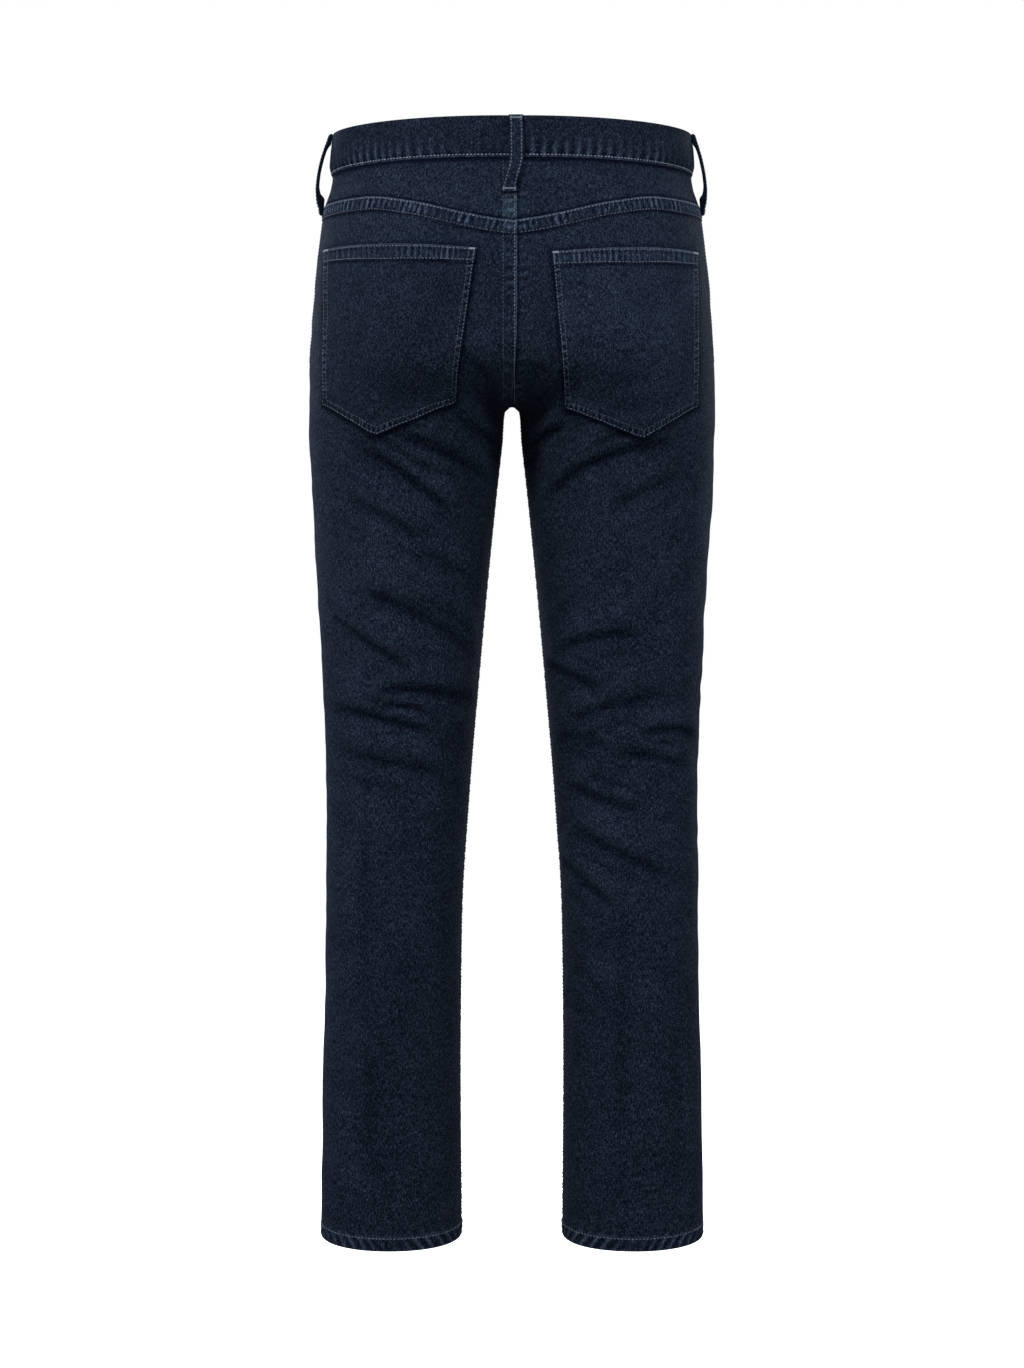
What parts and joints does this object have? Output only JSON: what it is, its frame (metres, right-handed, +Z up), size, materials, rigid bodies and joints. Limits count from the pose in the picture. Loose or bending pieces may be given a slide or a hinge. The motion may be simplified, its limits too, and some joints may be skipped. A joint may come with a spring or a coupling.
{
  "type": "slim ankle jeans",
  "caption": "Slim straight ankle jeans, hollow and held open at the waist: back yoke, patch back pockets, belt loops, curved front pockets, fly lap, narrow hems.",
  "frame": {"origin": "centre of the waist at the middle height of the waistband, midway between the side seams", "axes": "+Z up along the body, +X towards the wearer's right side, -Y out of the back of the jeans"},
  "size_m": [0.3724, 0.2449, 1.0192],
  "materials": {
    "denim_panel": "dark indigo twill denim, matt, tonal stitching",
    "denim_yoke": "dark indigo twill denim, matt",
    "denim_pocket": "dark indigo twill denim, matt, rubbed along its edges",
    "denim_band": "dark indigo twill denim in two layers, matt",
    "denim_loop": "dark indigo twill denim folded into a strip, matt",
    "button_metal": "dull metal cap, plain"
  },
  "bodies": {
    "root": {"back_panel_left": "denim_panel", "back_panel_right": "denim_panel", "front_panel_left": "denim_panel", "front_panel_right": "denim_panel", "front_pocket_facing_left": "denim_panel", "front_pocket_facing_right": "denim_panel", "yoke_left": "denim_yoke", "yoke_right": "denim_yoke", "back_pocket_left": "denim_pocket", "back_pocket_right": "denim_pocket", "waistband": "denim_band", "belt_loop_centre_back": "denim_loop", "belt_loop_side_left": "denim_loop", "belt_loop_side_right": "denim_loop", "belt_loop_front_left": "denim_loop", "belt_loop_front_right": "denim_loop", "waist_button": "button_metal"}
  },
  "joints": []
}
